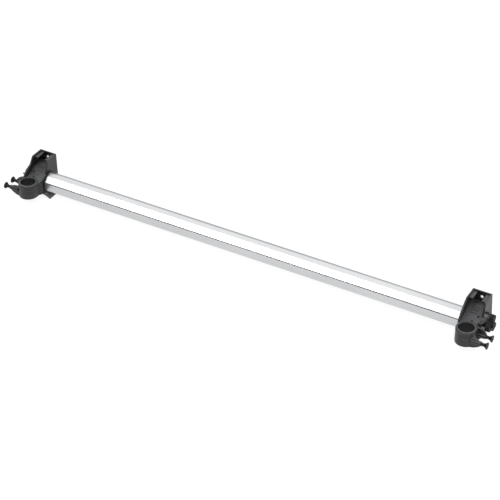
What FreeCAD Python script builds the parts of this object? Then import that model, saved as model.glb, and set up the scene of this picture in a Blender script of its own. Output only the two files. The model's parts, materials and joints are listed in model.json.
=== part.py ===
import FreeCAD, Part
import math
import os

# Bed cargo bar: an aluminium beam that spans a truck bed, carried by a moulded bracket at each
# end. The right bracket is screwed to the beam and has a knob-driven thrust foot. The left
# bracket slides along the beam and is held by a spring-loaded paddle lock.
#
# Frame: millimetres, origin on the beam's axis at mid-length, +X along the beam to the right,
# +Y towards the back walls of the brackets, +Z up. "Out" is the distance from the middle, |X|.
# Shared pieces are drawn at the right end and mirrored to the left.

V = FreeCAD.Vector
X_DIR, Y_DIR, Z_DIR = V(1, 0, 0), V(0, 1, 0), V(0, 0, 1)

# ---- beam ----
BAR_END = 668.0            # half length
BAR_FRONT, BAR_BACK = -24.0, 19.0
BAR_TOP, BAR_BOTTOM = 24.5, -24.4
BAR_WALL = 2.2
CREST_Y = 2.0              # where the flat top turns down to the front
BREAK = (-8.8, 18.4)       # between the top slope and the front slope
SLOPE_FOOT_Z = 5.9         # lower edge of the front slope
GROOVE_TALL, GROOVE_DEEP = 2.4, 2.0
BACK_ROUND = 15.5
PLUG_DEEP, PLUG_FLANGE, PLUG_GAP = 12.0, 1.6, 0.15

# ---- bracket ----
OUT_IN, OUT_OUT = 631.6, 683.2     # outer faces of the inner and outer side walls, at the top
WALL = 3.5
DRAFT, OUTER_DRAFT = 2.0, 5.0      # how far the two side walls spread at their foot
BACK_Y = 43.0
TURN_Y = -27.0             # the inner wall turns towards the cup here
TOWER_TOP, BASE_Z = 63.2, -28.4
SOCKET_END = 672.0
SLIDE_GAP = 0.3            # liner to beam
LINER_THICK = 1.5
LINER_LIP, LINER_LIP_WIDE = 1.6, 1.2   # collar where the beam enters, its depth and width
FLOOR_Z = 15.2             # pocket floor beside the cup
LEDGE_WIDE, LEDGE_THICK, LEDGE_TOP = 10.5, 2.4, 58.2
LEDGE_FRONT_Y = 8.0
RIB_X = (646.0, 666.0)
RIB_TOPS = ((7.5, 31.7), (1.0, 30.0), (-5.5, 26.5))    # Y and top of each floor rib
RIB_THICK = 1.6

# ---- cup for an upright post ----
CUP_X, CUP_Y = 660.0, -58.4
CUP_R, CUP_BORE, CUP_BUSH_R = 27.0, 21.3, 22.8
CUP_BOTTOM, CUP_TOP = -23.6, 18.7
CUP_LIP_R = 25.2

# ---- studs on the outer side ----
STUD_Y = (CUP_Y - 16.0, CUP_Y + 16.0)
STUD_Z = -5.0
STUD_R, STUD_HEAD_R = 4.6, 9.2
STUD_ROOT, STUD_FLARE, STUD_TIP = 684.0, 711.0, 725.6
STUD_RIM = 2.0
ARM_THICK, ARM_END = 5.0, 708.0
COLLAR_R = 6.2

# ---- rail on the right outer wall, locating peg on the left one ----
RAIL_OUT, RAIL_Y = (693.5, 696.5), (-34.0, 13.0)     # front and back ends
RAIL_Z = (22.9, 25.9)
RAIL_WIDE = 3.4
PEG_Y, PEG_Z, PEG_R, PEG_OUT = -34.0, 22.8, 1.8, 692.5

# ---- adjuster ----
ADJ_Y, ADJ_Z = -12.0, 13.0
BOSS_R, BOSS_OUT = 12.4, 696.0
SLEEVE_BORE_R, SLEEVE_R = 9.5, 9.44
SLEEVE_IN = 688.0
KNOB_IN, KNOB_OUT = 697.0, 712.0
KNOB_CORE_R, LOBE_REACH, LOBE_R = 11.8, 15.3, 10.5
LOBE_IN = 700.0            # the lobes start a little further out than the hub
LOBE_ANGLES = (62.0, 182.0, 302.0)
LOBE_RIM, LOBE_DEEP = 2.2, 1.2
GRIP_R, GRIP_COUNT = 0.9, 7
SPINDLE_R, SPINDLE_FIT = 5.0, 0.05
SPINDLE_IN, SPINDLE_OUT = 675.2, 715.0
SPINDLE_FLAT = 3.8         # flat's distance from the axis, it stops the spindle turning
GUIDE_IN, GUIDE_R = 675.0, 6.8
NUT_R = 8.0
FOOT_R, FOOT_OUT = 8.8, 717.5
CLIP_X, CLIP_THICK = 690.6, 1.6

# ---- tower fixings ----
BOLT_X, BOLT_Z, BOLT_R, BOLT_BUSH_R = 657.8, 47.0, 3.7, 5.4
POCKET_HOLES = ((662.0, -28.2, 2.2, 9.2), (671.4, -11.5, 2.9, 17.0))   # X, Y, radius, bottom

# ---- paddle lock, left end ----
PIVOT_X, PIVOT_Z = 629.4, -28.8
PIN_R, PIN_FIT = 1.7, 0.05
HUB_R = 3.3
PADDLE_HALF = 30.0
PADDLE_TIP = (608.7, -38.6)
PADDLE_THICK = 3.4
EAR_AT, EAR_THICK, EAR_GAP = 19.5, 4.0, 0.5
PAWL_HALF, PAWL_OUT = 8.0, 647.0
PAWL_TOP, PAWL_BOTTOM = -25.7, -28.7
SPRING_Y, SPRING_LEN = 9.5, 8.0

# ---- beam screws, right end ----
SCREW_X, SCREW_Y = 646.0, 9.5
SCREW_R, SCREW_HEAD_R, SCREW_LEN = 2.5, 4.8, 12.0
NUT_PLATE = (14.0, 29.0, 3.5)      # along X, along Y, thick


def rounded_wire(corners, place):
    """Closed wire through corners (a, b, radius), with an arc at each corner."""
    edges, count = [], len(corners)
    spans = []
    for index in range(count):
        a, b, radius = corners[index]
        here = V(a, b, 0)
        before = V(corners[index - 1][0], corners[index - 1][1], 0)
        after = V(corners[(index + 1) % count][0], corners[(index + 1) % count][1], 0)
        to_before, to_after = (before - here).normalize(), (after - here).normalize()
        half = to_before.getAngle(to_after) / 2
        reach = radius / math.tan(half)
        middle = None
        if radius > 0:
            bisector = (to_before + to_after).normalize()
            middle = here + bisector * (radius / math.sin(half) - radius)
        spans.append((here + to_before * reach, middle, here + to_after * reach))
    for index in range(count):
        start, middle, end = spans[index]
        if middle is not None:
            edges.append(Part.Arc(place(start), place(middle), place(end)).toShape())
        following = spans[(index + 1) % count][0]
        if end.distanceToPoint(following) > 1e-6:
            edges.append(Part.LineSegment(place(end), place(following)).toShape())
    return Part.Wire(edges)


def prism_x(corners, x0, x1):
    """Outline (y, z, radius) pushed along X."""
    wire = rounded_wire(corners, lambda p: V(x0, p.x, p.y))
    return Part.Face(wire).extrude(X_DIR * (x1 - x0))


def prism_y(corners, y0, y1):
    """Outline (x, z, radius) pushed along Y."""
    wire = rounded_wire(corners, lambda p: V(p.x, y0, p.y))
    return Part.Face(wire).extrude(Y_DIR * (y1 - y0))


def prism_z(corners, z0, z1):
    """Outline (x, y, radius) pushed along Z."""
    wire = rounded_wire(corners, lambda p: V(p.x, p.y, z0))
    return Part.Face(wire).extrude(Z_DIR * (z1 - z0))


def box(x0, x1, y0, y1, z0, z1):
    return Part.makeBox(x1 - x0, y1 - y0, z1 - z0, V(x0, y0, z0))


def rod_x(x0, x1, y, z, radius):
    return Part.makeCylinder(radius, x1 - x0, V(x0, y, z), X_DIR)


def rod_y(y0, y1, x, z, radius):
    return Part.makeCylinder(radius, y1 - y0, V(x, y0, z), Y_DIR)


def rod_z(z0, z1, x, y, radius):
    return Part.makeCylinder(radius, z1 - z0, V(x, y, z0), Z_DIR)


def to_left(shape):
    return shape.mirror(V(0, 0, 0), X_DIR)


def bar_corners(groove):
    """Beam outline, anticlockwise from the bottom at the back."""
    corners = [(BAR_BACK, BAR_BOTTOM, 4.0), (BAR_BACK, BAR_TOP, BACK_ROUND),
               (CREST_Y, BAR_TOP, 1.5), (BREAK[0], BREAK[1], 0.8),
               (BAR_FRONT, SLOPE_FOOT_Z, 0.3)]
    if groove:
        low = SLOPE_FOOT_Z - GROOVE_TALL
        corners += [(BAR_FRONT + GROOVE_DEEP, SLOPE_FOOT_Z - 0.2, 0.2),
                    (BAR_FRONT + GROOVE_DEEP, low, 0.2), (BAR_FRONT, low, 0.3)]
    corners += [(BAR_FRONT, BAR_BOTTOM + 5.0, 2.0), (BAR_FRONT + 5.0, BAR_BOTTOM, 2.0)]
    return corners


def bar_offset(distance, x0, x1):
    """Solid with the beam's plain outline, grown by a distance."""
    wire = rounded_wire(bar_corners(False), lambda p: V(x0, p.x, p.y))
    grown = wire.makeOffset2D(distance)
    return Part.Face(grown).extrude(X_DIR * (x1 - x0))


def bar_extrusion():
    outer = prism_x(bar_corners(True), -BAR_END, BAR_END)
    bar = outer.cut(bar_offset(-BAR_WALL - GROOVE_DEEP * 0.5, -BAR_END, BAR_END))
    for y in (-SCREW_Y, SCREW_Y):
        bar = bar.cut(rod_z(BAR_BOTTOM - 1, BAR_BOTTOM + 8, SCREW_X, y, SCREW_R + 0.05))
    return bar


def bar_plug():
    inset = -BAR_WALL - GROOVE_DEEP * 0.5 - PLUG_GAP
    body = bar_offset(inset, BAR_END - PLUG_DEEP, BAR_END)
    body = body.cut(bar_offset(inset - 2.0, BAR_END - PLUG_DEEP, BAR_END - 2.0))
    return body.fuse(bar_offset(-0.4, BAR_END, BAR_END + PLUG_FLANGE)).removeSplitter()


def floor_corners():
    """Solid part of the bracket below the open pocket."""
    return [(BACK_Y, BASE_Z, 2.0), (BACK_Y, 34.0, 1.0), (22.0, 34.0, 6.0), (2.0, 29.3, 8.0),
            (-12.0, 22.0, 6.0), (-40.0, FLOOR_Z, 1.0),
            (-40.0, CUP_BOTTOM, 1.0), (-28.0, BASE_Z, 6.0)]


def tower_wall_corners(front):
    """Side wall outline with the given front edge, from the tower's top to the pocket floor."""
    tower = [(BACK_Y, BASE_Z, 1.0), (BACK_Y, TOWER_TOP, 1.5)]
    return tower + front + [(-46.0, CUP_BOTTOM, 1.0), (-28.0, BASE_Z, 4.0)]


def long_front():
    """Front edge that falls gently almost to the cup."""
    return [(-1.0, TOWER_TOP, 6.0), (-10.0, 57.5, 14.0), (-31.0, 37.0, 20.0), (-46.0, 19.0, 3.0)]


def short_front():
    """Front edge that drops steeply behind the pocket floor."""
    return [(2.0, 60.5, 5.0), (-4.5, 42.0, 6.0), (-11.5, 24.5, 6.0), (-24.0, 17.5, 5.0),
            (-46.0, FLOOR_Z, 1.0)]


def shouldered_front():
    """Front edge with a flat shoulder half way down."""
    return [(0.0, TOWER_TOP, 4.0), (-7.0, 50.5, 6.0), (-13.2, 42.5, 5.0), (-30.5, 35.5, 6.0),
            (-37.0, 28.5, 5.0), (-43.0, 19.5, 3.0), (-46.0, FLOOR_Z, 1.0)]


def side_walls(inner_front, outer_front):
    lean = [(OUT_IN, TOWER_TOP, 0.0), (OUT_IN - DRAFT, BASE_Z, 0.0),
            (OUT_IN + WALL, BASE_Z, 0.0), (OUT_IN + WALL, TOWER_TOP, 0.0)]
    inner = prism_x(tower_wall_corners(inner_front), OUT_IN - DRAFT - 1, OUT_IN + WALL)
    inner = inner.common(prism_y(lean, CUP_Y, BACK_Y))
    # the inner wall turns in to meet the cup's side
    foot = OUT_IN - DRAFT - 1
    plan = [(CUP_X - CUP_R, CUP_Y, 0.0), (OUT_IN + WALL, CUP_Y, 0.0),
            (OUT_IN + WALL, BACK_Y, 0.0), (foot, BACK_Y, 0.0), (foot, TURN_Y, 12.0)]
    inner = inner.common(prism_z(plan, BASE_Z - 1, TOWER_TOP + 1))
    spread = [(OUT_OUT - WALL, TOWER_TOP, 0.0), (OUT_OUT, TOWER_TOP, 0.0),
              (OUT_OUT + OUTER_DRAFT, BASE_Z, 0.0), (OUT_OUT - WALL, BASE_Z, 0.0)]
    outer = prism_x(tower_wall_corners(outer_front), OUT_OUT - WALL, OUT_OUT + OUTER_DRAFT + 1)
    return inner, outer.common(prism_y(spread, CUP_Y, BACK_Y))


def floor_ribs():
    """Three low ribs across the pocket's sloping floor."""
    half = RIB_THICK / 2
    return [box(*RIB_X, y - half, y + half, top - 3, top) for y, top in RIB_TOPS]


def tower_ledges():
    """Flat ledge on each side wall near the top of the tower, beside the bolt."""
    ends = (LEDGE_FRONT_Y, BACK_Y - 1, LEDGE_TOP - LEDGE_THICK, LEDGE_TOP)
    inner_face, outer_face = OUT_IN + WALL, OUT_OUT - WALL
    return [box(inner_face - 1, inner_face + LEDGE_WIDE, *ends),
            box(outer_face - LEDGE_WIDE, outer_face + 1, *ends)]


def stud_arms():
    """Web and collar that carry each of the two studs."""
    front = [(CUP_X + 8, 7.0, 0.0), (694.0, 4.8, 4.0), (ARM_END, -0.5, 1.0),
             (ARM_END, -10.5, 1.0), (701.0, -16.0, 4.0), (691.0, -21.5, 5.0),
             (680.0, CUP_BOTTOM - 0.6, 3.0), (CUP_X + 8, CUP_BOTTOM - 0.6, 0.0)]
    rear = [(CUP_X + 8, FLOOR_Z + 1.2, 0.0), (688.0, FLOOR_Z + 1.2, 3.0), (694.0, 14.6, 4.0),
            (703.0, 9.4, 3.0), (ARM_END, 4.0, 1.0), (ARM_END, -10.5, 1.0), (697.0, -12.5, 3.0),
            (689.0, -16.0, 3.0), (CUP_X + 8, -16.0, 0.0)]
    half = ARM_THICK / 2
    pieces = []
    for corners, y in ((front, STUD_Y[0]), (rear, STUD_Y[1])):
        pieces.append(prism_y(corners, y - half, y + half))
        pieces.append(rod_x(OUT_OUT - 1, ARM_END, y, STUD_Z, COLLAR_R))
    return pieces


def bracket_outside(inner_front, outer_front):
    inner, outer = side_walls(inner_front, outer_front)
    pieces = [prism_x(floor_corners(), OUT_IN, OUT_OUT), outer]
    pieces.append(box(OUT_IN, OUT_OUT, BACK_Y - WALL, BACK_Y, 0, TOWER_TOP - 1.0))
    pieces.append(rod_z(CUP_BOTTOM, FLOOR_Z, CUP_X, CUP_Y, CUP_R))
    neck = [(CUP_X - CUP_R, CUP_Y, 0.0), (CUP_X + CUP_R, CUP_Y, 0.0), (OUT_OUT, -36.0, 2.0),
            (OUT_OUT, -30.0, 0.0), (OUT_IN, -30.0, 0.0)]
    pieces.append(prism_z(neck, CUP_BOTTOM, FLOOR_Z))
    solid = inner
    for piece in pieces + floor_ribs() + tower_ledges() + stud_arms():
        solid = solid.fuse(piece)
    return solid


def bracket_cuts():
    """Hollows that both brackets have."""
    cuts = [bar_offset(SLIDE_GAP + LINER_THICK, OUT_IN - DRAFT - 1, SOCKET_END)]
    cuts.append(rod_z(CUP_BOTTOM - 1, FLOOR_Z + 1, CUP_X, CUP_Y, CUP_BUSH_R))
    cuts.append(rod_y(BACK_Y - WALL - 1, BACK_Y + 1, BOLT_X, BOLT_Z, BOLT_BUSH_R))
    for x, y, radius, bottom in POCKET_HOLES:
        cuts.append(rod_z(bottom, FLOOR_Z + 12, x, y, radius))
    for y in STUD_Y:
        cuts.append(rod_x(STUD_ROOT, ARM_END + 1, y, STUD_Z, STUD_R))
    # the cup and the sockets stay open above the floor
    cuts.append(rod_z(FLOOR_Z, CUP_TOP + 20, CUP_X, CUP_Y, CUP_R + 0.2))
    return cuts


def cut_all(solid, cuts):
    for cut in cuts:
        solid = solid.cut(cut)
    return solid.removeSplitter()


def side_rail():
    """Open rail above the knob: its back end meets the wall, its front end stands on a leg."""
    (front, back), (y0, y1) = RAIL_OUT, RAIL_Y
    plate = prism_z([(OUT_OUT - 1, y0 - 4, 0.0), (front - 2, y0 - 4, 2.5), (front, y0 + 4, 4.0),
                     (back, y1, 3.0), (OUT_OUT - 1, y1 + 4, 0.0)], *RAIL_Z)
    inside = [(OUT_OUT - 2, y0, 0.0), (front - RAIL_WIDE - 2, y0, 1.5),
              (front - RAIL_WIDE, y0 + 6, 3.0), (back - RAIL_WIDE, y1 - 5, 2.0),
              (OUT_OUT - 2, y1 - 3, 0.0)]
    leg = box(OUT_OUT - 2.5, front - 2.6, y0 - 3.7, y0 - 0.3, FLOOR_Z - 8, RAIL_Z[0] + 1)
    return plate.cut(prism_z(inside, RAIL_Z[0] - 1, RAIL_Z[1] + 1)).fuse(leg)


def right_housing():
    boss = rod_x(OUT_OUT - 1, BOSS_OUT, ADJ_Y, ADJ_Z, BOSS_R)
    cuts = bracket_cuts()
    cuts.append(rod_x(SLEEVE_IN - 0.4, BOSS_OUT + 1, ADJ_Y, ADJ_Z, SLEEVE_BORE_R))
    cuts.append(rod_x(GUIDE_IN, SLEEVE_IN, ADJ_Y, ADJ_Z, GUIDE_R))
    cuts.append(clip_plate(0.1))
    for y in (-SCREW_Y, SCREW_Y):
        cuts.append(rod_z(BASE_Z - 1, BAR_BOTTOM, SCREW_X, y, SCREW_R + 0.1))
        cuts.append(screw_cone(y, 0.1))
    return cut_all(bracket_outside(long_front(), short_front()).fuse(boss).fuse(side_rail()), cuts)


def left_housing():
    peg = rod_x(OUT_OUT - 1, PEG_OUT, PEG_Y, PEG_Z, PEG_R)
    solid = bracket_outside(short_front(), shouldered_front()).fuse(peg)
    ear = [(PIVOT_X - 3.4, BAR_BOTTOM - 1.0, 1.5), (PIVOT_X - 3.4, PIVOT_Z - 3.4, 3.0),
           (PIVOT_X + 3.0, PIVOT_Z - 3.4, 2.0), (OUT_IN + 6, BASE_Z, 0.0),
           (OUT_IN + 6, BAR_BOTTOM - 1.0, 0.0)]
    relief = rod_y(-PADDLE_HALF - 1, PADDLE_HALF + 1, PIVOT_X, PIVOT_Z, HUB_R + 0.8)
    solid = solid.cut(relief)
    for y in (-EAR_AT - EAR_THICK, EAR_AT):
        solid = solid.fuse(prism_y(ear, y, y + EAR_THICK))
    cuts = bracket_cuts()
    cuts.append(rod_y(-PADDLE_HALF, PADDLE_HALF, PIVOT_X, PIVOT_Z, PIN_R + 0.02))
    cuts.append(box(PIVOT_X, PAWL_OUT + 2, -PAWL_HALF - 1, PAWL_HALF + 1, BASE_Z - 1, BAR_BOTTOM))
    return cut_all(solid, cuts)


def socket_liner(slotted):
    mouth = OUT_IN - DRAFT
    liner = bar_offset(SLIDE_GAP + LINER_THICK, mouth - LINER_LIP, SOCKET_END)
    lip = bar_offset(SLIDE_GAP + LINER_THICK + LINER_LIP_WIDE, mouth - LINER_LIP, mouth)
    lip = lip.cut(box(mouth - 5, mouth + 5, -40, 40, BASE_Z - 1, BAR_BOTTOM + 2))
    liner = liner.fuse(lip).cut(bar_offset(SLIDE_GAP, mouth - 5, SOCKET_END + 1))
    liner = liner.cut(box(mouth - 5, mouth + 3, -40, 40, BASE_Z - 1, BAR_BOTTOM + 0.2))
    if slotted:
        liner = liner.cut(box(mouth, PAWL_OUT + 2, -PAWL_HALF - 1, PAWL_HALF + 1, BASE_Z, -20))
    else:
        for y in (-SCREW_Y, SCREW_Y):
            liner = liner.cut(rod_z(BASE_Z, BAR_BOTTOM, SCREW_X, y, SCREW_R + 0.1))
    return liner


def cup_bush():
    sleeve = rod_z(CUP_BOTTOM, FLOOR_Z, CUP_X, CUP_Y, CUP_BUSH_R)
    lip = rod_z(FLOOR_Z, CUP_TOP, CUP_X, CUP_Y, CUP_LIP_R)
    lip = lip.makeFillet(1.2, [edge for edge in lip.Edges if edge.CenterOfMass.z > CUP_TOP - 0.1
                               and len(edge.Vertexes) == 1])
    bore = rod_z(CUP_BOTTOM - 1, CUP_TOP + 1, CUP_X, CUP_Y, CUP_BORE)
    return sleeve.fuse(lip).cut(bore).removeSplitter()


def stud(y):
    """Turned mushroom stud with a trumpet head."""
    rim_x = STUD_TIP - STUD_RIM
    start, end = V(STUD_FLARE, y + STUD_R, STUD_Z), V(rim_x, y + STUD_HEAD_R, STUD_Z)
    bend = V(STUD_FLARE + 0.68 * (rim_x - STUD_FLARE), y + STUD_R + 1.05, STUD_Z)
    outline = [Part.LineSegment(V(STUD_ROOT, y, STUD_Z), V(STUD_ROOT, y + STUD_R, STUD_Z)),
               Part.LineSegment(V(STUD_ROOT, y + STUD_R, STUD_Z), start),
               Part.Arc(start, bend, end),
               Part.LineSegment(end, V(STUD_TIP, y + STUD_HEAD_R, STUD_Z)),
               Part.LineSegment(V(STUD_TIP, y + STUD_HEAD_R, STUD_Z), V(STUD_TIP, y, STUD_Z)),
               Part.LineSegment(V(STUD_TIP, y, STUD_Z), V(STUD_ROOT, y, STUD_Z))]
    face = Part.Face(Part.Wire([piece.toShape() for piece in outline]))
    return face.revolve(V(STUD_ROOT, y, STUD_Z), X_DIR, 360)


def bolt_bush():
    y0, y1 = BACK_Y - WALL - 0.6, BACK_Y
    outer = rod_y(y0, y1, BOLT_X, BOLT_Z, BOLT_BUSH_R)
    return outer.cut(rod_y(y0 - 1, y1 + 1, BOLT_X, BOLT_Z, BOLT_R))


def clip_plate(gap):
    """U-shaped clip pushed down into the boss, across the sleeve's groove."""
    x0, x1 = CLIP_X - gap, CLIP_X + CLIP_THICK + gap
    reach, leg = 11.2 + gap, ADJ_Z - 6.0 - gap
    plate = box(x0, x1, ADJ_Y - reach, ADJ_Y + reach, leg, RAIL_Z[0] - 0.6 + gap)
    if gap > 0:
        return plate
    plate = plate.cut(rod_x(x0 - 1, x1 + 1, ADJ_Y, ADJ_Z, SLEEVE_R - 1.3))
    throat = SLEEVE_R - 1.3
    return plate.cut(box(x0 - 1, x1 + 1, ADJ_Y - throat, ADJ_Y + throat, leg - 1, ADJ_Z))


def spindle_guide():
    """Bush with a flat in its bore, so that the spindle slides and doesn't turn."""
    x0, x1 = GUIDE_IN, SLEEVE_IN - 0.4
    bush = rod_x(x0, x1, ADJ_Y, ADJ_Z, GUIDE_R)
    return bush.cut(flatted_rod(x0 - 1, x1 + 1, SPINDLE_FIT))


def flatted_rod(x0, x1, grow):
    radius, flat = SPINDLE_R + grow, SPINDLE_FLAT + grow
    rod = rod_x(x0, x1, ADJ_Y, ADJ_Z, radius)
    below = box(x0 - 1, x1 + 1, ADJ_Y - 9, ADJ_Y + 9, ADJ_Z - 9, ADJ_Z - flat)
    return rod.cut(below)


def spindle():
    return flatted_rod(SPINDLE_IN, SPINDLE_OUT, 0.0)


def thrust_foot():
    """Rubber foot on the end of the spindle."""
    x0 = KNOB_OUT + 0.8
    pad = rod_x(x0, FOOT_OUT, ADJ_Y, ADJ_Z, FOOT_R)
    rims = [edge for edge in pad.Edges if len(edge.Vertexes) == 1]
    pad = pad.makeFillet(1.2, rims)
    return pad.cut(flatted_rod(x0 - 1, SPINDLE_OUT, 0.0))


def adjuster_knob():
    """Three-lobed hand knob with a sleeve that turns in the boss."""
    knob = rod_x(KNOB_IN, KNOB_OUT, ADJ_Y, ADJ_Z, KNOB_CORE_R)
    for angle in LOBE_ANGLES:
        way = V(0, math.cos(math.radians(angle)), math.sin(math.radians(angle)))
        side = X_DIR.cross(way)
        hub = V(LOBE_IN, ADJ_Y, ADJ_Z)
        centre = hub + way * LOBE_REACH
        knob = knob.fuse(Part.makeCylinder(LOBE_R, KNOB_OUT - LOBE_IN, centre, X_DIR))
        root = side * (KNOB_CORE_R - 1)
        web = [hub + root, centre + root * 0.9, centre - root * 0.9, hub - root]
        face = Part.Face(Part.makePolygon(web + [web[0]]))
        knob = knob.fuse(face.extrude(X_DIR * (KNOB_OUT - LOBE_IN)))
    knob = knob.removeSplitter()
    rims = [edge for edge in knob.Edges
            if all(abs(vertex.X - KNOB_OUT) < 0.01 for vertex in edge.Vertexes)]
    knob = knob.makeFillet(1.0, rims)
    for angle in LOBE_ANGLES:
        knob = shape_lobe(knob, angle)
    sleeve = rod_x(SLEEVE_IN, KNOB_IN + 1, ADJ_Y, ADJ_Z, SLEEVE_R)
    groove = rod_x(CLIP_X - 0.15, CLIP_X + CLIP_THICK + 0.15, ADJ_Y, ADJ_Z, SLEEVE_R + 1)
    groove = groove.cut(rod_x(CLIP_X - 1, CLIP_X + 3, ADJ_Y, ADJ_Z, SLEEVE_R - 1.4))
    knob = knob.fuse(sleeve).cut(groove)
    knob = knob.cut(rod_x(SLEEVE_IN - 1, KNOB_OUT + 1, ADJ_Y, ADJ_Z, SPINDLE_R + 0.3))
    return knob.cut(rod_x(KNOB_IN + 1, KNOB_OUT - 3, ADJ_Y, ADJ_Z, NUT_R)).removeSplitter()


def shape_lobe(knob, lobe_angle):
    """Recess the face of one lobe and cut finger grooves round its tip."""
    lobe = math.radians(lobe_angle)
    centre = (ADJ_Y + LOBE_REACH * math.cos(lobe), ADJ_Z + LOBE_REACH * math.sin(lobe))
    recess = rod_x(KNOB_OUT - LOBE_DEEP, KNOB_OUT + 1, *centre, LOBE_R - LOBE_RIM)
    knob = knob.cut(recess.cut(rod_x(KNOB_IN, KNOB_OUT + 2, ADJ_Y, ADJ_Z, KNOB_CORE_R)))
    for index in range(GRIP_COUNT):
        turn = lobe + math.radians(150.0 * (index / (GRIP_COUNT - 1) - 0.5))
        y = centre[0] + (LOBE_R + 0.2) * math.cos(turn)
        z = centre[1] + (LOBE_R + 0.2) * math.sin(turn)
        knob = knob.cut(rod_x(KNOB_IN - 1, KNOB_OUT + 1, y, z, GRIP_R))
    return knob


def knob_nut():
    """Brass nut moulded into the knob, it drives the spindle's thread."""
    nut = rod_x(KNOB_IN + 1, KNOB_OUT - 3, ADJ_Y, ADJ_Z, NUT_R)
    return nut.cut(rod_x(KNOB_IN, KNOB_OUT, ADJ_Y, ADJ_Z, SPINDLE_R + SPINDLE_FIT))


def screw_cone(y, grow):
    return Part.makeCone(SCREW_HEAD_R + grow, SCREW_R + grow, SCREW_HEAD_R - SCREW_R,
                         V(SCREW_X, y, BASE_Z), Z_DIR)


def bar_screws():
    screws = []
    for y in (-SCREW_Y, SCREW_Y):
        screw = screw_cone(y, 0.0).fuse(rod_z(BASE_Z + 1, BASE_Z + SCREW_LEN, SCREW_X, y, SCREW_R))
        socket = rod_z(BASE_Z - 1, BASE_Z + 1.8, SCREW_X, y, 1.6)
        screws.append(screw.cut(socket).removeSplitter())
    return Part.makeCompound(screws)


def nut_plate():
    floor = BAR_BOTTOM + BAR_WALL + GROOVE_DEEP * 0.5
    length, width, thick = NUT_PLATE
    plate = box(SCREW_X - length / 2, SCREW_X + length / 2, -width / 2, width / 2,
                floor, floor + thick)
    for y in (-SCREW_Y, SCREW_Y):
        plate = plate.cut(rod_z(floor - 1, floor + thick + 1, SCREW_X, y, SCREW_R + 0.02))
    return plate


def paddle_lever():
    """Squeeze paddle: blade, hub round the pin, and the pawl arm under the beam."""
    run, drop = PADDLE_TIP[0] - PIVOT_X, PADDLE_TIP[1] - PIVOT_Z
    length = math.hypot(run, drop)
    along, across = (run / length, drop / length), (drop / length, -run / length)

    def blade_point(distance, offset, radius):
        return (PIVOT_X + along[0] * distance + across[0] * offset,
                PIVOT_Z + along[1] * distance + across[1] * offset, radius)

    half = PADDLE_THICK / 2
    blade = prism_y([blade_point(0, -half, 0), blade_point(length, -half, 0.8),
                     blade_point(length, half, 0.8), blade_point(0, half, 0)],
                    -PADDLE_HALF, PADDLE_HALF)
    lever = blade.fuse(rod_y(-PADDLE_HALF, PADDLE_HALF, PIVOT_X, PIVOT_Z, HUB_R))
    lever = lever.fuse(box(PIVOT_X, PAWL_OUT, -PAWL_HALF, PAWL_HALF, PAWL_BOTTOM, PAWL_TOP))
    lever = lever.cut(rod_y(-PADDLE_HALF - 1, PADDLE_HALF + 1, PIVOT_X, PIVOT_Z,
                            PIN_R + PIN_FIT))
    for y0, y1 in ((-EAR_AT - EAR_THICK, -EAR_AT), (EAR_AT, EAR_AT + EAR_THICK),
                   (SPRING_Y, SPRING_Y + SPRING_LEN)):
        room = rod_y(y0 - EAR_GAP, y1 + EAR_GAP, PIVOT_X, PIVOT_Z, HUB_R + 2.2)
        lever = lever.cut(room)
    return lever.removeSplitter()


def pawl_pad():
    """Toothed friction pad that bears on the beam's underside."""
    pad = box(PAWL_OUT - 11, PAWL_OUT - 1, -PAWL_HALF + 0.5, PAWL_HALF - 0.5,
              PAWL_TOP, BAR_BOTTOM - 0.1)
    for index in range(4):
        x = PAWL_OUT - 9.2 + 2.2 * index
        pad = pad.cut(box(x, x + 0.8, -PAWL_HALF, PAWL_HALF, BAR_BOTTOM - 0.5, BAR_BOTTOM))
    return pad


def lever_pin():
    reach = PADDLE_HALF - 1.5
    return rod_y(-reach, reach, PIVOT_X, PIVOT_Z, PIN_R)


def lever_spring():
    """Coil body of the torsion spring round the pin."""
    y0, y1 = SPRING_Y, SPRING_Y + SPRING_LEN
    coil = rod_y(y0, y1, PIVOT_X, PIVOT_Z, PIN_R + 1.2)
    return coil.cut(rod_y(y0 - 1, y1 + 1, PIVOT_X, PIVOT_Z, PIN_R + 0.3))


nodes = {
    "bar_extrusion": bar_extrusion(),
    "right_bar_plug": bar_plug(),
    "left_bar_plug": to_left(bar_plug()),
    "bar_nut_plate": nut_plate(),
    "right_bar_screws": bar_screws(),
    "right_housing": right_housing(),
    "left_housing": to_left(left_housing()),
    "right_socket_liner": socket_liner(False),
    "left_socket_liner": to_left(socket_liner(True)),
    "right_cup_bush": cup_bush(),
    "left_cup_bush": to_left(cup_bush()),
    "right_front_stud": stud(STUD_Y[0]),
    "right_rear_stud": stud(STUD_Y[1]),
    "left_front_stud": to_left(stud(STUD_Y[0])),
    "left_rear_stud": to_left(stud(STUD_Y[1])),
    "right_bolt_bush": bolt_bush(),
    "left_bolt_bush": to_left(bolt_bush()),
    "knob_clip": clip_plate(0.0),
    "spindle_guide": spindle_guide(),
    "adjuster_knob": adjuster_knob(),
    "knob_nut": knob_nut(),
    "thrust_spindle": spindle(),
    "thrust_foot": thrust_foot(),
    "paddle_lever": to_left(paddle_lever()),
    "pawl_pad": to_left(pawl_pad()),
    "lever_pin": to_left(lever_pin()),
    "lever_spring": to_left(lever_spring()),
}

os.makedirs("parts", exist_ok=True)
for name, shape in nodes.items():
    shape.exportStep(os.path.join("parts", name + ".step"))
    print("%-20s solids %d valid %s volume %.0f" % (name, len(shape.Solids), shape.isValid(),
                                                    shape.Volume))
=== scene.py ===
import json
import math

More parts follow.
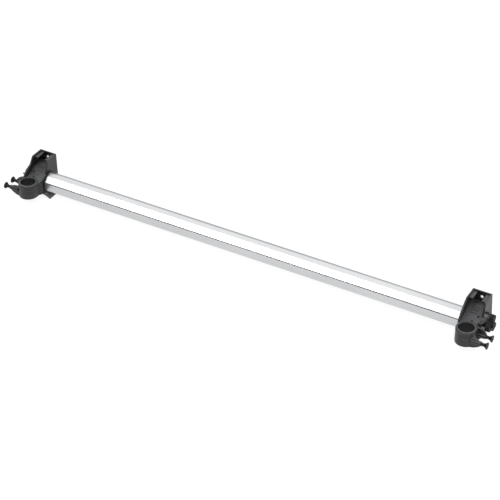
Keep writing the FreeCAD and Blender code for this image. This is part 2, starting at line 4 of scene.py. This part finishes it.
import bpy
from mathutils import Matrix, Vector


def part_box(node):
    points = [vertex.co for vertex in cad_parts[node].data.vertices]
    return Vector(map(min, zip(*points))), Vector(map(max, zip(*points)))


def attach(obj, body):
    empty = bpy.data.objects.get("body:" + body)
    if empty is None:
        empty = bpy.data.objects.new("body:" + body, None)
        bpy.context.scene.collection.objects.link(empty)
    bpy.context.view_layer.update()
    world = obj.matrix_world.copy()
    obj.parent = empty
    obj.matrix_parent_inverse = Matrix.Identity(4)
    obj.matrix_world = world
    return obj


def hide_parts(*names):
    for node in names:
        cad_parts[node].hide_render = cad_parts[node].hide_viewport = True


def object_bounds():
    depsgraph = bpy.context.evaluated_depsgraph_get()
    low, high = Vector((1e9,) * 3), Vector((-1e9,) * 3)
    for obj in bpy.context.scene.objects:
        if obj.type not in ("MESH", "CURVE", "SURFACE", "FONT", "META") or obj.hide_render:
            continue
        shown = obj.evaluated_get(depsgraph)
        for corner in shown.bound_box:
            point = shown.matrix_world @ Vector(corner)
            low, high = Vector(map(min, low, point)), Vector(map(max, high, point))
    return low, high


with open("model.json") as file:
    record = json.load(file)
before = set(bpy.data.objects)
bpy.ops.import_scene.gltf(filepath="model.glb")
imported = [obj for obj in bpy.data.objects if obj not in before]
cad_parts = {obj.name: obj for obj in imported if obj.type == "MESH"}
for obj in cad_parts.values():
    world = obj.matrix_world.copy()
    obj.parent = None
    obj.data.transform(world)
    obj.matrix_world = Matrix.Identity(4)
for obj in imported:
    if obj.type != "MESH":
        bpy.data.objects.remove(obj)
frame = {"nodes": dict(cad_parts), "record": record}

CAD_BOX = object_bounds()
NODES = frame["nodes"]
MM = 0.001

# ---- camera ----
# Seen from the front, the right and above through a long lens, aimed close to the beam's middle.
CAMERA_AZIMUTH, CAMERA_ELEVATION = math.radians(29.42), math.radians(35.83)
CAMERA_DISTANCE = 4.609
CAMERA_AIM = Vector((0.0, 0.0252, -0.0337))
CAMERA_LENS, SENSOR = 124.2, 36.0
FAR_CLIP = 100.0


def direction(azimuth, elevation):
    """Unit vector from the object towards a viewer at that azimuth and elevation."""
    flat = math.cos(elevation)
    return Vector((math.sin(azimuth) * flat, -math.cos(azimuth) * flat, math.sin(elevation)))


def look_back(thing, back):
    """Turn a camera or light so that it looks against the vector."""
    thing.rotation_euler = (-back).to_track_quat("-Z", "Y").to_euler()


def add_camera():
    data = bpy.data.cameras.new("camera")
    camera = bpy.data.objects.new("camera", data)
    bpy.context.scene.collection.objects.link(camera)
    back = direction(CAMERA_AZIMUTH, CAMERA_ELEVATION)
    camera.location = CAMERA_AIM + back * CAMERA_DISTANCE
    look_back(camera, back)
    data.lens, data.sensor_width = CAMERA_LENS, SENSOR
    data.clip_end = FAR_CLIP
    bpy.context.scene.camera = camera


# ---- light and floor ----
HORIZON, ZENITH = 0.36, 1.3         # strength of the studio's own light
FLOOR_HALF = 40.0                   # large enough to reach the horizon
FLOOR_GAP = 0.0005
FLOOR_GLOW = 0.88


def add_light(name, azimuth, elevation, distance, size, power):
    """Disc-shaped soft light that looks at the object's middle."""
    data = bpy.data.lights.new(name, "AREA")
    data.shape = "DISK"
    data.size = size
    data.energy = power
    light = bpy.data.objects.new(name, data)
    back = direction(math.radians(azimuth), math.radians(elevation))
    light.location = back * distance
    look_back(light, back)
    bpy.context.scene.collection.objects.link(light)


def set_range(node, start, end, low, high):
    """Make a Map Range node carry start..end to low..high."""
    for socket, value in (("From Min", start), ("From Max", end), ("To Min", low),
                          ("To Max", high)):
        node.inputs[socket].default_value = value


def add_world():
    """White studio, dimmer round the horizon than overhead."""
    world = bpy.data.worlds.new("studio")
    world.use_nodes = True
    tree = world.node_tree
    height = tree.nodes.new("ShaderNodeSeparateXYZ")
    tree.links.new(tree.nodes.new("ShaderNodeTexCoord").outputs["Generated"],
                   height.inputs["Vector"])
    strength = tree.nodes.new("ShaderNodeMapRange")
    set_range(strength, 0.0, 1.0, HORIZON, ZENITH)
    tree.links.new(height.outputs["Z"], strength.inputs["Value"])
    background = tree.nodes["Background"]
    background.inputs["Color"].default_value = (1.0, 1.0, 1.0, 1.0)
    tree.links.new(strength.outputs["Result"], background.inputs["Strength"])
    bpy.context.scene.world = world


def add_floor(level):
    mesh = bpy.data.meshes.new("floor")
    corners = [(-FLOOR_HALF, -FLOOR_HALF, level), (FLOOR_HALF, -FLOOR_HALF, level),
               (FLOOR_HALF, FLOOR_HALF, level), (-FLOOR_HALF, FLOOR_HALF, level)]
    mesh.from_pydata(corners, [], [(0, 1, 2, 3)])
    floor = bpy.data.objects.new("floor", mesh)
    bpy.context.scene.collection.objects.link(floor)
    mesh.materials.append(MATERIALS["floor"])


# ---- material building ----
BEVEL_SAMPLES = 6
WORN_EDGE, PLAIN_FACE = 0.72, 0.98        # how far the rounded normal agrees with the true one
WALL, LEVEL_FACE = 0.55, 0.95             # how far a normal points up


class Shader:
    """A Principled material whose varying inputs are built from a few linked nodes."""

    def __init__(self, name, **constants):
        self.material = bpy.data.materials.new(name)
        self.material.use_nodes = True
        self.tree = self.material.node_tree
        self.surface = self.tree.nodes["Principled BSDF"]
        for socket, value in constants.items():
            self.surface.inputs[socket.replace("_", " ")].default_value = value
        self.coordinates = self.tree.nodes.new("ShaderNodeTexCoord").outputs["Object"]

    def link(self, source, target):
        self.tree.links.new(source, target)

    def mapped(self, scale):
        mapping = self.tree.nodes.new("ShaderNodeMapping")
        mapping.inputs["Scale"].default_value = scale
        self.link(self.coordinates, mapping.inputs["Vector"])
        return mapping.outputs["Vector"]

    def place(self):
        """The X, Y and Z of the point, as outputs by name."""
        parts = self.tree.nodes.new("ShaderNodeSeparateXYZ")
        self.link(self.coordinates, parts.inputs["Vector"])
        return parts.outputs

    def noise(self, scale, detail=3.0, roughness=0.5, stretch=(1.0, 1.0, 1.0)):
        texture = self.tree.nodes.new("ShaderNodeTexNoise")
        texture.inputs["Scale"].default_value = scale
        texture.inputs["Detail"].default_value = detail
        texture.inputs["Roughness"].default_value = roughness
        self.link(self.mapped(stretch), texture.inputs["Vector"])
        return texture.outputs["Fac"]

    def ramp(self, source, low, high, start=0.0, end=1.0):
        """Source from start..end, spread over low..high."""
        span = self.tree.nodes.new("ShaderNodeMapRange")
        set_range(span, start, end, low, high)
        self.link(source, span.inputs["Value"])
        return span.outputs["Result"]

    def math(self, operation, first, second):
        node = self.tree.nodes.new("ShaderNodeMath")
        node.operation = operation
        for index, value in enumerate((first, second)):
            if isinstance(value, float):
                node.inputs[index].default_value = value
            else:
                self.link(value, node.inputs[index])
        return node.outputs["Value"]

    def mix(self, factor, first, second):
        node = self.tree.nodes.new("ShaderNodeMix")
        node.data_type = "RGBA"
        self.link(factor, node.inputs["Factor"])
        for socket, value in (("A", first), ("B", second)):
            target = [s for s in node.inputs if s.name == socket and s.type == "RGBA"][0]
            if isinstance(value, tuple):
                target.default_value = (*value, 1.0)
            else:
                self.link(value, target)
        return [s for s in node.outputs if s.type == "RGBA"][0]

    def rounded(self, radius):
        """Normal that rounds sharp edges over a small radius."""
        node = self.tree.nodes.new("ShaderNodeBevel")
        node.samples = BEVEL_SAMPLES
        node.inputs["Radius"].default_value = radius
        return node.outputs["Normal"]

    def edge_mask(self, radius):
        """About 0 on faces and 1 on the sharp outer edges."""
        geometry = self.tree.nodes.new("ShaderNodeNewGeometry")
        dot = self.tree.nodes.new("ShaderNodeVectorMath")
        dot.operation = "DOT_PRODUCT"
        self.link(self.rounded(radius), dot.inputs[0])
        self.link(geometry.outputs["Normal"], dot.inputs[1])
        return self.ramp(dot.outputs["Value"], 1.0, 0.0, WORN_EDGE, PLAIN_FACE)

    def facing_up(self):
        """0 on walls and 1 on level upper faces."""
        geometry = self.tree.nodes.new("ShaderNodeNewGeometry")
        parts = self.tree.nodes.new("ShaderNodeSeparateXYZ")
        self.link(geometry.outputs["Normal"], parts.inputs["Vector"])
        return self.ramp(parts.outputs["Z"], 0.0, 1.0, WALL, LEVEL_FACE)

    def bump(self, height, strength, distance, normal=None):
        node = self.tree.nodes.new("ShaderNodeBump")
        node.inputs["Strength"].default_value = strength
        node.inputs["Distance"].default_value = distance
        self.link(height, node.inputs["Height"])
        if normal is not None:
            self.link(normal, node.inputs["Normal"])
        return node.outputs["Normal"]

    def colour(self, source):
        self.link(source, self.surface.inputs["Base Color"])

    def roughness(self, source):
        self.link(source, self.surface.inputs["Roughness"])

    def normal(self, source):
        self.link(source, self.surface.inputs["Normal"])


def moulded_plastic(name, dark, light, low, high, grain=900.0, depth=0.00006, edge=0.0007,
                    dust=(0.07, 0.071, 0.074), specular=0.4):
    """Moulded plastic: grain, cloudy tone, faint flow bands, upper faces paler with dust and painted
    top light, paler edges.
    """
    shader = Shader(name, Specular_IOR_Level=specular)
    cloud = shader.noise(26.0, detail=4.0, roughness=0.6)
    bands = shader.noise(1.0, detail=2.0, stretch=(9.0, 9.0, 170.0))
    mottle = shader.math("ADD", shader.math("MULTIPLY", cloud, 0.45),
                         shader.math("MULTIPLY", bands, 0.55))
    tone = shader.mix(shader.ramp(mottle, 0.0, 1.0, start=0.4, end=0.6), dark, light)

    scuffs = shader.noise(160.0, detail=5.0, roughness=0.7, stretch=(1.0, 0.35, 1.0))
    # Upper faces are mixed in patches towards the dust colour: partly settled dust, partly painted
    # light on the tops that face the lamps.
    dust_and_top_light = shader.math("MULTIPLY", shader.facing_up(),
                          shader.ramp(scuffs, 0.65, 1.0, start=0.35, end=0.6))
    dusted_and_top_lit = shader.mix(dust_and_top_light, tone, dust)
    worn = shader.math("MULTIPLY", shader.edge_mask(edge),
                       shader.ramp(scuffs, 0.3, 1.0, start=0.35, end=0.6))
    rubbed = tuple(3.0 * value + 0.02 for value in light)
    shader.colour(shader.mix(worn, dusted_and_top_lit, rubbed))

    gloss = shader.ramp(mottle, low, high, start=0.4, end=0.6)
    shader.roughness(shader.math("SUBTRACT", gloss, shader.math("MULTIPLY", worn, 0.12)))
    ripple = shader.bump(bands, 0.5, 0.0005, shader.rounded(edge))
    shader.normal(shader.bump(shader.noise(grain, detail=2.0), 0.5, depth, ripple))
    return shader.material


LIP_FOOT, LIP_TOP = 14.5 * MM, 16.2 * MM        # heights of the post cup's lip


def lip_plastic():
    """Dull black bush whose raised lip carries a painted highlight: paler and glossier in patches."""
    shader = Shader("bush_grey", Specular_IOR_Level=0.4)
    lip = shader.ramp(shader.place()["Z"], 0.0, 1.0, LIP_FOOT, LIP_TOP)
    scuffs = shader.noise(90.0, detail=5.0, roughness=0.7)
    # Painted highlight: the lip is coloured paler in patches, standing for the light caught on the
    # cup's rim.
    painted_lip_highlight = shader.math("MULTIPLY", lip, shader.ramp(scuffs, 0.55, 1.0, start=0.35, end=0.65))
    shader.colour(shader.mix(painted_lip_highlight, (0.006, 0.006, 0.007), (0.085, 0.086, 0.09)))
    shader.roughness(shader.ramp(painted_lip_highlight, 0.62, 0.3))
    grain = shader.noise(1300.0, detail=2.0)
    shader.normal(shader.bump(grain, 0.4, 0.00003, shader.rounded(0.0008)))
    return shader.material


GROOVE_BOTTOM, GROOVE_TOP = 3.45 * MM, 5.95 * MM        # heights of the beam's front groove
# Painted shade in the front groove: full on the front face, fading out towards the back over this Y
# range.
GROOVE_SHADE_FULL, GROOVE_SHADE_NONE = -10.0 * MM, 0.0                # Y where it starts to fade, and where it ends


def anodised_aluminium():
    """Clear anodised extrusion: die lines along the beam, faint clouds, a painted shade darkening the
    groove.
    """
    shader = Shader("anodised_aluminium", Metallic=1.0)
    die_lines = shader.noise(1.0, detail=4.0, roughness=0.65, stretch=(3.0, 900.0, 900.0))
    cloud = shader.noise(9.0, stretch=(0.4, 1.0, 1.0))
    tone = shader.mix(shader.ramp(cloud, 0.0, 1.0, start=0.3, end=0.7), (0.545, 0.55, 0.56),
                      (0.6, 0.605, 0.61))
    streaked = shader.mix(shader.ramp(die_lines, 0.0, 0.35, start=0.45, end=0.75), tone,
                          (0.5, 0.505, 0.52))
    place = shader.place()
    front = shader.ramp(place["Y"], 1.0, 0.0, GROOVE_SHADE_FULL, GROOVE_SHADE_NONE)
    below_top = shader.math("LESS_THAN", place["Z"], GROOVE_TOP)
    above_bottom = shader.math("GREATER_THAN", place["Z"], GROOVE_BOTTOM)
    painted_groove_shade = shader.math("MULTIPLY", shader.math("MULTIPLY", front, below_top), above_bottom)
    # Painted shade: the front groove is coloured dark grey, standing for the shade inside it.
    shader.colour(shader.mix(painted_groove_shade, streaked, (0.16, 0.165, 0.17)))

    marks = shader.noise(60.0, detail=6.0, roughness=0.75, stretch=(0.25, 1.0, 1.0))
    gloss = shader.ramp(die_lines, 0.26, 0.36, start=0.3, end=0.7)
    handled = shader.ramp(marks, 0.0, 0.12, start=0.55, end=0.75)
    shader.roughness(shader.math("ADD", gloss, handled))
    shader.normal(shader.bump(die_lines, 0.35, 0.00002, shader.rounded(0.0004)))
    return shader.material


def metal(name, dark, light, low, high, grain, stretch):
    """Turned or plated metal with fine directional marks."""
    shader = Shader(name, Metallic=1.0)
    cloud = shader.noise(45.0, roughness=0.6)
    shader.colour(shader.mix(shader.ramp(cloud, 0.0, 1.0, start=0.3, end=0.7), dark, light))
    marks = shader.noise(grain, roughness=0.6, stretch=stretch)
    shader.roughness(shader.ramp(marks, low, high, start=0.3, end=0.7))
    shader.normal(shader.bump(marks, 0.4, 0.00001, shader.rounded(0.0003)))
    return shader.material


def rubber():
    """Matt black rubber with a little dust."""
    shader = Shader("rubber", Specular_IOR_Level=0.35)
    dust = shader.noise(70.0, detail=5.0, roughness=0.65)
    shader.colour(shader.mix(shader.ramp(dust, 0.0, 1.0, start=0.4, end=0.75),
                             (0.022, 0.022, 0.023), (0.05, 0.049, 0.047)))
    shader.roughness(shader.ramp(dust, 0.7, 0.88, start=0.3, end=0.7))
    grain = shader.noise(1500.0, detail=2.0)
    shader.normal(shader.bump(grain, 0.6, 0.00005, shader.rounded(0.0004)))
    return shader.material


def studio_floor():
    """Bright white sweep. A little light of its own keeps it free of hard shadows."""
    shader = Shader("floor", Specular_IOR_Level=0.1)
    shader.surface.inputs["Emission Color"].default_value = (1.0, 1.0, 1.0, 1.0)
    shader.surface.inputs["Emission Strength"].default_value = FLOOR_GLOW
    paper = shader.noise(3.0, detail=2.0)
    shader.colour(shader.mix(paper, (0.15, 0.15, 0.15), (0.17, 0.17, 0.17)))
    shader.roughness(shader.ramp(paper, 0.85, 0.95))
    return shader.material


MATERIALS = {
    "anodised_aluminium": anodised_aluminium(),
    "moulded_black": moulded_plastic(
        "moulded_black", (0.002, 0.0021, 0.0024), (0.024, 0.0245, 0.026), 0.3, 0.5),
    "liner_grey": moulded_plastic(
        "liner_grey", (0.006, 0.006, 0.007), (0.011, 0.011, 0.012), 0.5, 0.6,
        grain=1300.0, depth=0.00003),
    "bush_grey": lip_plastic(),
    "stud_black": moulded_plastic(
        "stud_black", (0.004, 0.004, 0.005), (0.007, 0.007, 0.008), 0.42, 0.55,
        grain=1100.0, depth=0.00004, edge=0.0004, dust=(0.02, 0.02, 0.021), specular=0.2),
    "knob_black": moulded_plastic(
        "knob_black", (0.003, 0.003, 0.004), (0.007, 0.007, 0.008), 0.4, 0.6,
        grain=1200.0, depth=0.00008, edge=0.0005, dust=(0.014, 0.014, 0.015), specular=0.2),
    "paddle_grey": moulded_plastic(
        "paddle_grey", (0.04, 0.0405, 0.042), (0.065, 0.066, 0.068), 0.34, 0.44,
        dust=(0.11, 0.111, 0.114)),
    "plated_steel": metal(
        "plated_steel", (0.52, 0.52, 0.5), (0.64, 0.63, 0.6), 0.26, 0.4, 300.0, (1.0, 6.0, 1.0)),
    "spring_steel": metal(
        "spring_steel", (0.33, 0.33, 0.34), (0.45, 0.45, 0.46), 0.25, 0.38, 400.0,
        (1.0, 1.0, 1.0)),
    "brass": metal(
        "brass", (0.66, 0.5, 0.25), (0.76, 0.6, 0.33), 0.22, 0.34, 300.0, (1.0, 6.0, 6.0)),
    "rubber": rubber(),
    "floor": studio_floor(),
}


def paint_nodes():
    """Give every CAD node the material of its slot in the record."""
    for part in frame["record"]["subparts"]:
        node = NODES[part["node"]]
        node.data.materials.clear()
        node.data.materials.append(MATERIALS[part["material_slot"]])


# ---- mesh tools ----
def add_piece(name, points, faces, slot_name, body, *nodes):
    """Smooth mesh piece on a body. It replaces the CAD nodes named, if any."""
    mesh = bpy.data.meshes.new(name)
    mesh.from_pydata([tuple(point) for point in points], [], faces)
    mesh.validate()
    mesh.shade_smooth()
    piece = bpy.data.objects.new(name, mesh)
    bpy.context.scene.collection.objects.link(piece)
    mesh.materials.append(MATERIALS[slot_name])
    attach(piece, body)
    if nodes:
        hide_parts(*nodes)


def closed_tube(rows, columns):
    """Quads between neighbouring rings of points, and a face over each end."""
    faces = []
    for row in range(rows - 1):
        for column in range(columns):
            following = (column + 1) % columns
            faces.append((row * columns + column, row * columns + following,
                          (row + 1) * columns + following, (row + 1) * columns + column))
    faces.append(tuple(reversed(range(columns))))
    faces.append(tuple(range((rows - 1) * columns, rows * columns)))
    return faces


def swept_rod(path, radius, sides):
    """Points of a round rod along a path, one ring for each point of the path."""
    points = []
    normal = (path[1] - path[0]).orthogonal().normalized()
    for index, point in enumerate(path):
        ahead = path[min(index + 1, len(path) - 1)] - path[max(index - 1, 0)]
        ahead.normalize()
        normal = (normal - ahead * normal.dot(ahead)).normalized()
        side = ahead.cross(normal)
        for step in range(sides):
            turn = 2 * math.pi * step / sides
            points.append(point + (normal * math.cos(turn) + side * math.sin(turn)) * radius)
    return points


# ---- adjuster ----
ADJUSTER_Y, ADJUSTER_Z = -12.0 * MM, 13.0 * MM
THREAD_PITCH, THREAD_CREST, THREAD_DEPTH = 3.0 * MM, 5.0 * MM, 0.8 * MM
THREAD_FLANK = 3.2                  # how steeply the groove deepens along one pitch
THREAD_CHAMFER = 1.2 * MM
THREAD_SIDES, ROWS_PER_TURN = 48, 10
FOOT_SIDES = 64
FOOT_ROUND, FOOT_ROUND_MIDDLE = 1.3 * MM, 0.4 * MM
FOOT_BACK_ROUND = 1.2 * MM
FOOT_SOCKET_R, FOOT_SOCKET_DEEP = 5.05 * MM, 2.0 * MM
FOOT_RINGS = (6.4 * MM, 4.6 * MM, 2.8 * MM)
RING_HALF, RING_FLOOR_HALF, RING_DEEP = 0.45 * MM, 0.25 * MM, 0.5 * MM
AXIS_R = 0.02 * MM                  # ring that closes a turned face at its middle


def threaded_spindle():
    """Spindle with a helical thread, cut away by the flat that stops it turning."""
    low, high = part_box("thrust_spindle")
    flat = ADJUSTER_Z - low[2]
    length = high[0] - low[0]
    rows = int(round(length / (THREAD_PITCH / ROWS_PER_TURN)))
    points = []
    for row in range(rows + 1):
        x = low[0] + length * row / rows
        chamfer = min(1.0, min(x - low[0], high[0] - x) / THREAD_CHAMFER)
        for column in range(THREAD_SIDES):
            turn = column / THREAD_SIDES
            wave = ((x - low[0]) / THREAD_PITCH - turn) % 1.0
            groove = max(0.0, 1.0 - abs(wave - 0.5) * THREAD_FLANK)
            radius = THREAD_CREST - THREAD_DEPTH * max(groove, 1.0 - chamfer)
            y = radius * math.cos(2 * math.pi * turn)
            z = max(radius * math.sin(2 * math.pi * turn), -flat)
            points.append((x, ADJUSTER_Y + y, ADJUSTER_Z + z))
    add_piece("threaded_spindle", points, closed_tube(rows + 1, THREAD_SIDES), "plated_steel",
              "thrust", "thrust_spindle")


def grooved_foot():
    """Rubber foot with rings moulded into its face. Its outline is turned about the axis."""
    low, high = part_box("thrust_foot")
    back, face = low[0], high[0]
    rim = (high[2] - low[2]) / 2
    outline = [(back + FOOT_SOCKET_DEEP, AXIS_R), (back + FOOT_SOCKET_DEEP, FOOT_SOCKET_R),
               (back, FOOT_SOCKET_R), (back, rim - FOOT_ROUND),
               (back + FOOT_ROUND_MIDDLE, rim - FOOT_ROUND_MIDDLE),
               (back + FOOT_BACK_ROUND, rim), (face - FOOT_ROUND, rim),
               (face - FOOT_ROUND_MIDDLE, rim - FOOT_ROUND_MIDDLE), (face, rim - FOOT_ROUND)]
    for ring in FOOT_RINGS:
        outline += [(face, ring + RING_HALF), (face - RING_DEEP, ring + RING_FLOOR_HALF),
                    (face - RING_DEEP, ring - RING_FLOOR_HALF), (face, ring - RING_HALF)]
    outline.append((face, AXIS_R))
    points = []
    for x, radius in outline:
        for step in range(FOOT_SIDES):
            turn = 2 * math.pi * step / FOOT_SIDES
            points.append((x, ADJUSTER_Y + radius * math.cos(turn),
                           ADJUSTER_Z + radius * math.sin(turn)))
    add_piece("grooved_foot", points, closed_tube(len(outline), FOOT_SIDES), "rubber", "thrust",
              "thrust_foot")


# ---- paddle ----
WIRE_R, WIRE_SIDES = 0.42 * MM, 10
COILS, STEPS_PER_COIL = 7, 26
SPRING_LEG = 2.2 * MM
PADDLE_PIVOT = Vector((-629.4, 0.0, -28.8)) * MM
PADDLE_TIP = Vector((-608.7, 0.0, -38.6)) * MM
RIB_DISTANCES = (8.0 * MM, 11.0 * MM, 14.0 * MM, 17.0 * MM)        # from the pivot
RIB_DROP = 1.45 * MM                # from the blade's middle plane to the rib's axis
RIB_R, RIB_SIDES = 0.9 * MM, 12
RIB_HALF = 24.0 * MM
RIB_ENDS = ((0.0, 0.1), (0.6 * MM, 0.7), (1.6 * MM, 1.0))          # inset and share of the radius


def spring_coil():
    """Torsion spring round the lever pin, with a short leg at each end."""
    low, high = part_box("lever_spring")
    x, z = (low[0] + high[0]) / 2, (low[2] + high[2]) / 2
    around = (high[2] - low[2]) / 2 - WIRE_R
    steps = COILS * STEPS_PER_COIL
    path = []
    for index in range(steps + 1):
        turn = 2 * math.pi * index / STEPS_PER_COIL
        y = low[1] + WIRE_R + (high[1] - low[1] - 2 * WIRE_R) * index / steps
        path.append(Vector((x + around * math.cos(turn), y, z + around * math.sin(turn))))
    path.insert(0, path[0] + Vector((0.0, 0.0, -SPRING_LEG)))
    path.append(path[-1] + Vector((0.0, 0.0, SPRING_LEG)))
    points = swept_rod(path, WIRE_R, WIRE_SIDES)
    add_piece("spring_coil", points, closed_tube(len(path), WIRE_SIDES), "spring_steel",
              "left_end", "lever_spring")


def paddle_ribs():
    """Finger ribs with rounded ends across the underside of the paddle's blade."""
    along = (PADDLE_TIP - PADDLE_PIVOT).normalized()
    down = Vector((along.z, 0.0, -along.x))
    if down.z > 0:
        down.negate()
    spans = [(inset - RIB_HALF, share) for inset, share in RIB_ENDS]
    spans += [(RIB_HALF - inset, share) for inset, share in reversed(RIB_ENDS)]
    for number, distance in enumerate(RIB_DISTANCES, 1):
        base = PADDLE_PIVOT + along * distance + down * RIB_DROP
        points = []
        for y, share in spans:
            for step in range(RIB_SIDES):
                turn = 2 * math.pi * step / RIB_SIDES
                around = along * math.cos(turn) + down * math.sin(turn)
                points.append(base + around * RIB_R * share + Vector((0.0, y, 0.0)))
        add_piece("paddle_rib_%d" % number, points, closed_tube(len(spans), RIB_SIDES),
                  "paddle_grey", "paddle")


# ---- scene ----
paint_nodes()
threaded_spindle()
grooved_foot()
spring_coil()
paddle_ribs()
add_camera()
bpy.context.scene.view_settings.view_transform = "Standard"
add_floor(CAD_BOX[0][2] - FLOOR_GAP)
add_world()
add_light("key", azimuth=-37.0, elevation=50.0, distance=4.2, size=1.5, power=40.0)
add_light("side", azimuth=82.0, elevation=30.0, distance=3.4, size=1.2, power=26.0)
